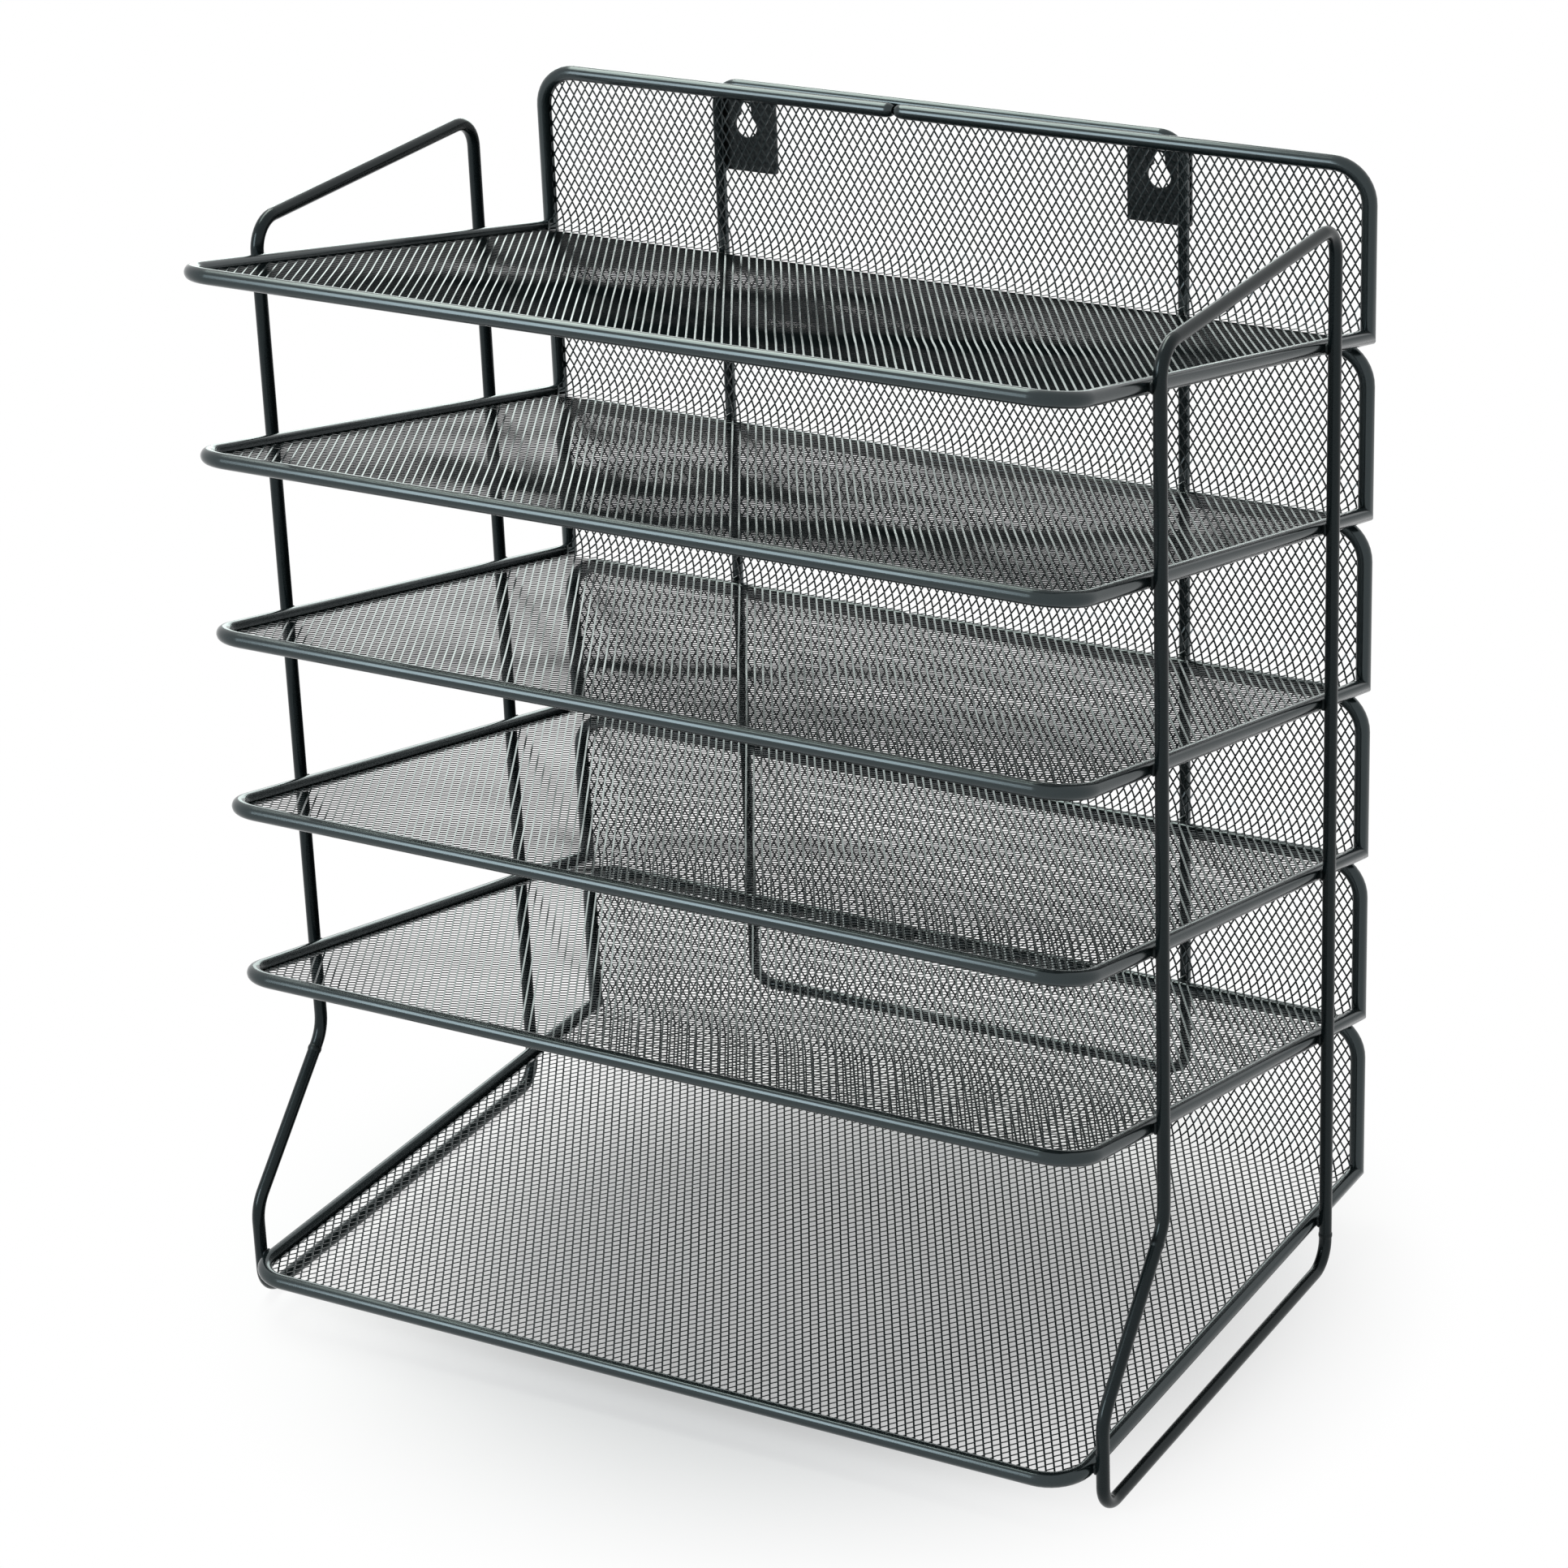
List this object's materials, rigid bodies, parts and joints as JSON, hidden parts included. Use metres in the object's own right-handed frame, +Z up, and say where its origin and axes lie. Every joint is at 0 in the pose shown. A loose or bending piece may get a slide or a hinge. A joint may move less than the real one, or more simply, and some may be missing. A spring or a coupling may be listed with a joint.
{
  "type": "document sorter",
  "caption": "Tall black wire-mesh document sorter: tilted letter trays stacked between two bent-rod side frames, with a rear loop and keyhole plates for hanging.",
  "frame": {"origin": "on the floor, at the middle of the box around the whole sorter", "axes": "+X to the right as seen from the front, +Y from the open front to the back panels, +Z up"},
  "size_m": [0.3556, 0.2612, 0.4202],
  "materials": {
    "rim": "satin black powder coat",
    "mesh": "matte black powder coat on expanded mesh",
    "rod": "satin black powder coat",
    "plate": "fine-textured black powder coat",
    "weld": "coated weld bead"
  },
  "bodies": {
    "root": {"tray_1_rim": "rim", "tray_2_rim": "rim", "tray_3_rim": "rim", "tray_4_rim": "rim", "tray_5_rim": "rim", "tray_6_rim": "rim", "tray_1_mesh": "mesh", "tray_2_mesh": "mesh", "tray_3_mesh": "mesh", "tray_4_mesh": "mesh", "tray_5_mesh": "mesh", "tray_6_mesh": "mesh", "left_hoop": "rod", "right_hoop": "rod", "left_foot_rail": "rod", "right_foot_rail": "rod", "hanging_loop": "rod", "left_hanger_plate": "plate", "right_hanger_plate": "plate", "left_frame_welds": "weld", "right_frame_welds": "weld", "hanging_loop_welds": "weld"}
  },
  "joints": []
}
